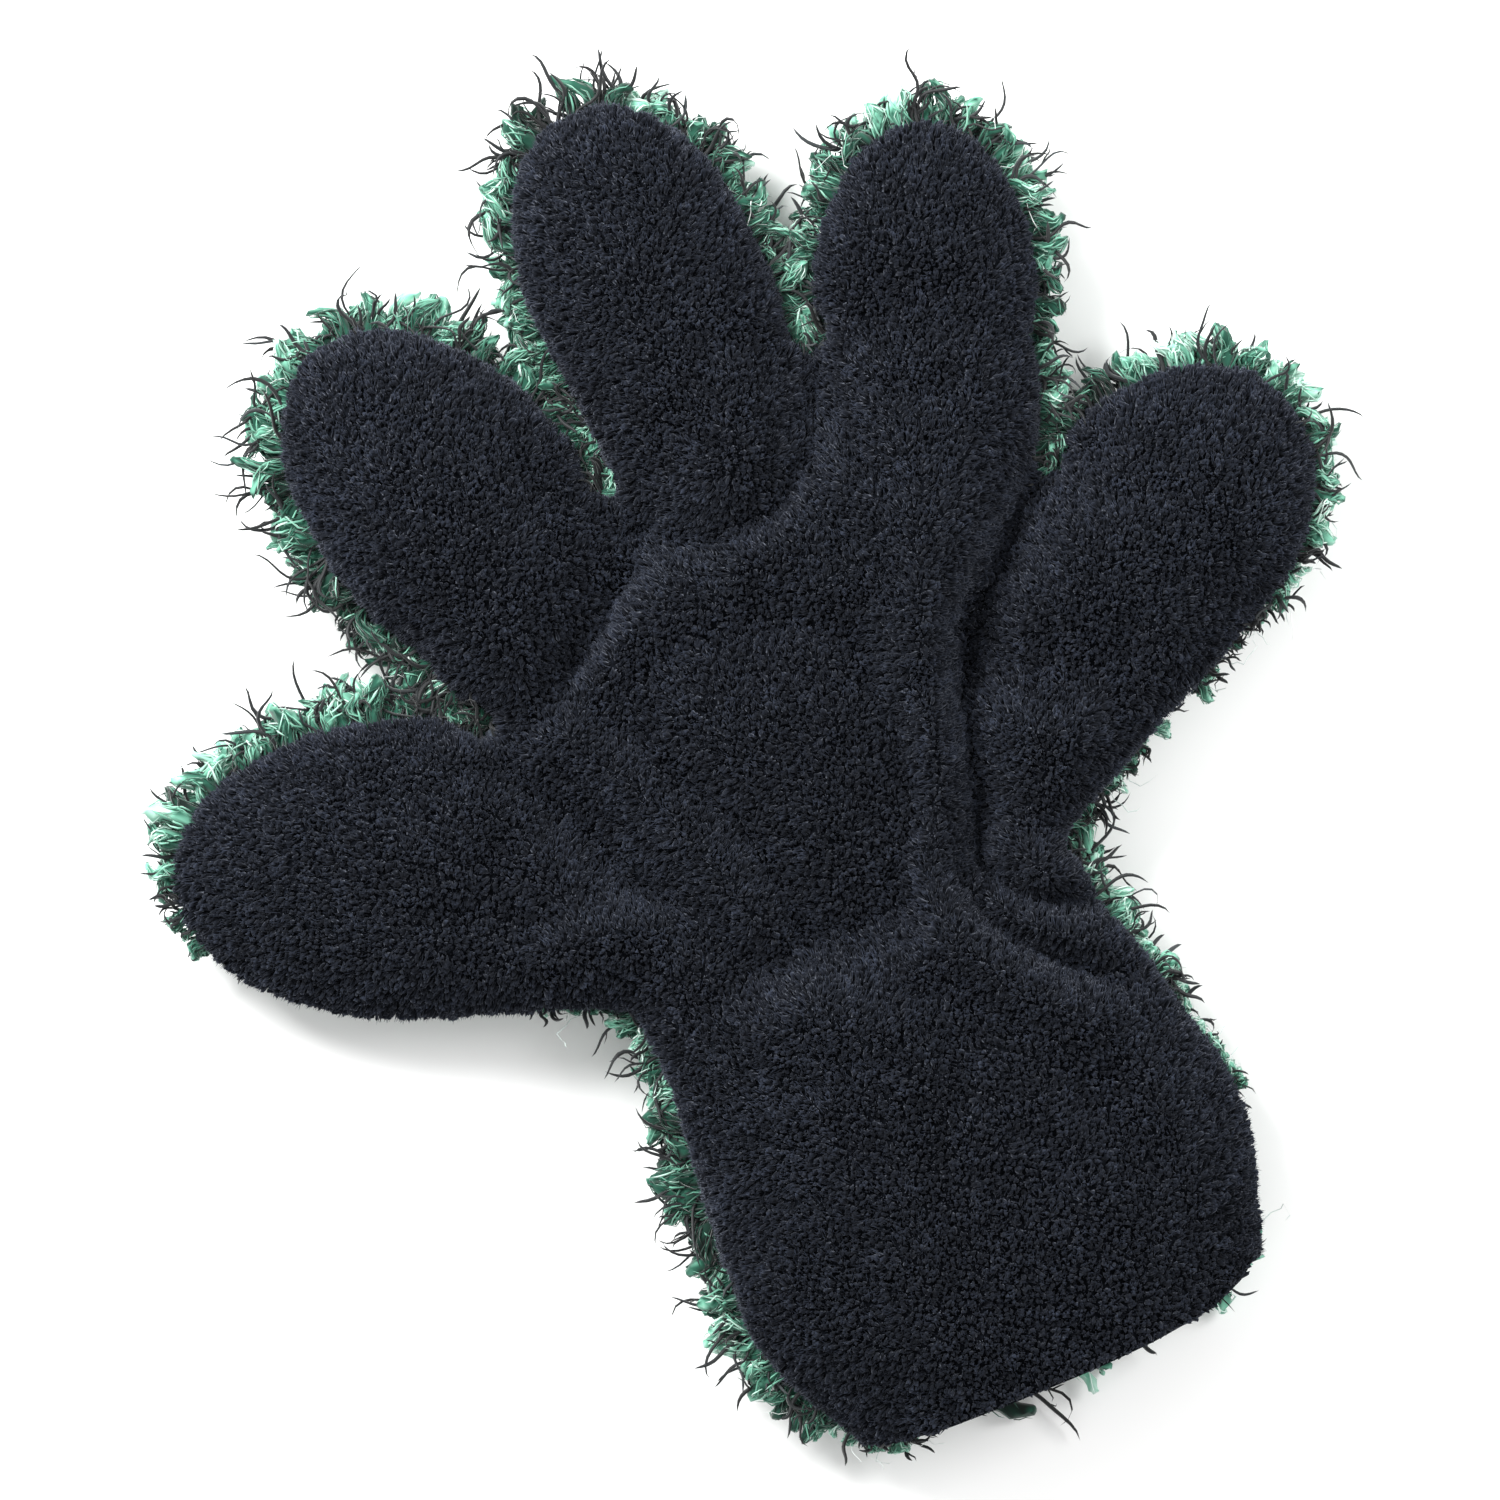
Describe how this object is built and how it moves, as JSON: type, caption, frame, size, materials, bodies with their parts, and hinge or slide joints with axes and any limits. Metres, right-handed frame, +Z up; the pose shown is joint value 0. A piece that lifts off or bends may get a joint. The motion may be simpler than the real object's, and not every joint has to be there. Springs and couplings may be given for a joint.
{
  "type": "wash mitt",
  "caption": "Hand-shaped car wash mitt with long shag on one side, short dense plush on the other, separate fingers and a hemmed open cuff.",
  "frame": {"origin": "under the middle of the mitt's bounding box, on the surface that the mitt lies on", "axes": "+Y from the cuff towards the middle fingertip, +X to the right seen from the plush side, +Z up from the shag side to the plush side"},
  "size_m": [0.2962, 0.3174, 0.04],
  "materials": {
    "plush": "dense short sheared plush, matt, navy",
    "shag": "long loose chenille shag, soft, mint green with black strands",
    "seam": "overlocked cut edges, matt, navy",
    "hem": "turned knitted backing, matt, navy",
    "thread": "twisted polyester sewing thread, slight sheen, black"
  },
  "bodies": {
    "palm": {"plush_panel_palm": "plush", "shag_panel_palm": "shag", "seam_cuff_to_thumb": "seam", "seam_crotch_thumb_index": "seam", "seam_crotch_index_middle": "seam", "seam_crotch_middle_ring": "seam", "seam_crotch_ring_little": "seam", "seam_little_to_cuff": "seam", "hem_plush_side": "hem", "hem_shag_side": "hem", "hem_stitching_plush_side": "thread", "hem_stitching_shag_side": "thread"},
    "thumb": {"plush_panel_thumb": "plush", "shag_panel_thumb": "shag", "seam_thumb": "seam"},
    "index": {"plush_panel_index": "plush", "shag_panel_index": "shag", "seam_index": "seam"},
    "middle": {"plush_panel_middle": "plush", "shag_panel_middle": "shag", "seam_middle": "seam"},
    "ring": {"plush_panel_ring": "plush", "shag_panel_ring": "shag", "seam_ring": "seam"},
    "little": {"plush_panel_little": "plush", "shag_panel_little": "shag", "seam_little": "seam"}
  },
  "joints": [
    {"name": "thumb_fold", "type": "hinge", "parent": "palm", "child": "thumb", "pos_m": [-0.07278, 0.00635, 0.017], "axis": [0.4067, 0.9136, 0], "range_deg": [0, 90]},
    {"name": "index_fold", "type": "hinge", "parent": "palm", "child": "index", "pos_m": [-0.03756, 0.06624, 0.017], "axis": [0.9636, 0.2672, 0], "range_deg": [0, 90]},
    {"name": "middle_fold", "type": "hinge", "parent": "palm", "child": "middle", "pos_m": [0.02064, 0.08732, 0.017], "axis": [0.9996, -0.0297, 0], "range_deg": [0, 90]},
    {"name": "ring_fold", "type": "hinge", "parent": "palm", "child": "ring", "pos_m": [0.07307, 0.06987, 0.017], "axis": [0.891, -0.454, 0], "range_deg": [0, 90]},
    {"name": "little_fold", "type": "hinge", "parent": "palm", "child": "little", "pos_m": [0.09704, 0.00382, 0.017], "axis": [0.3746, -0.9272, 0], "range_deg": [0, 90]}
  ]
}
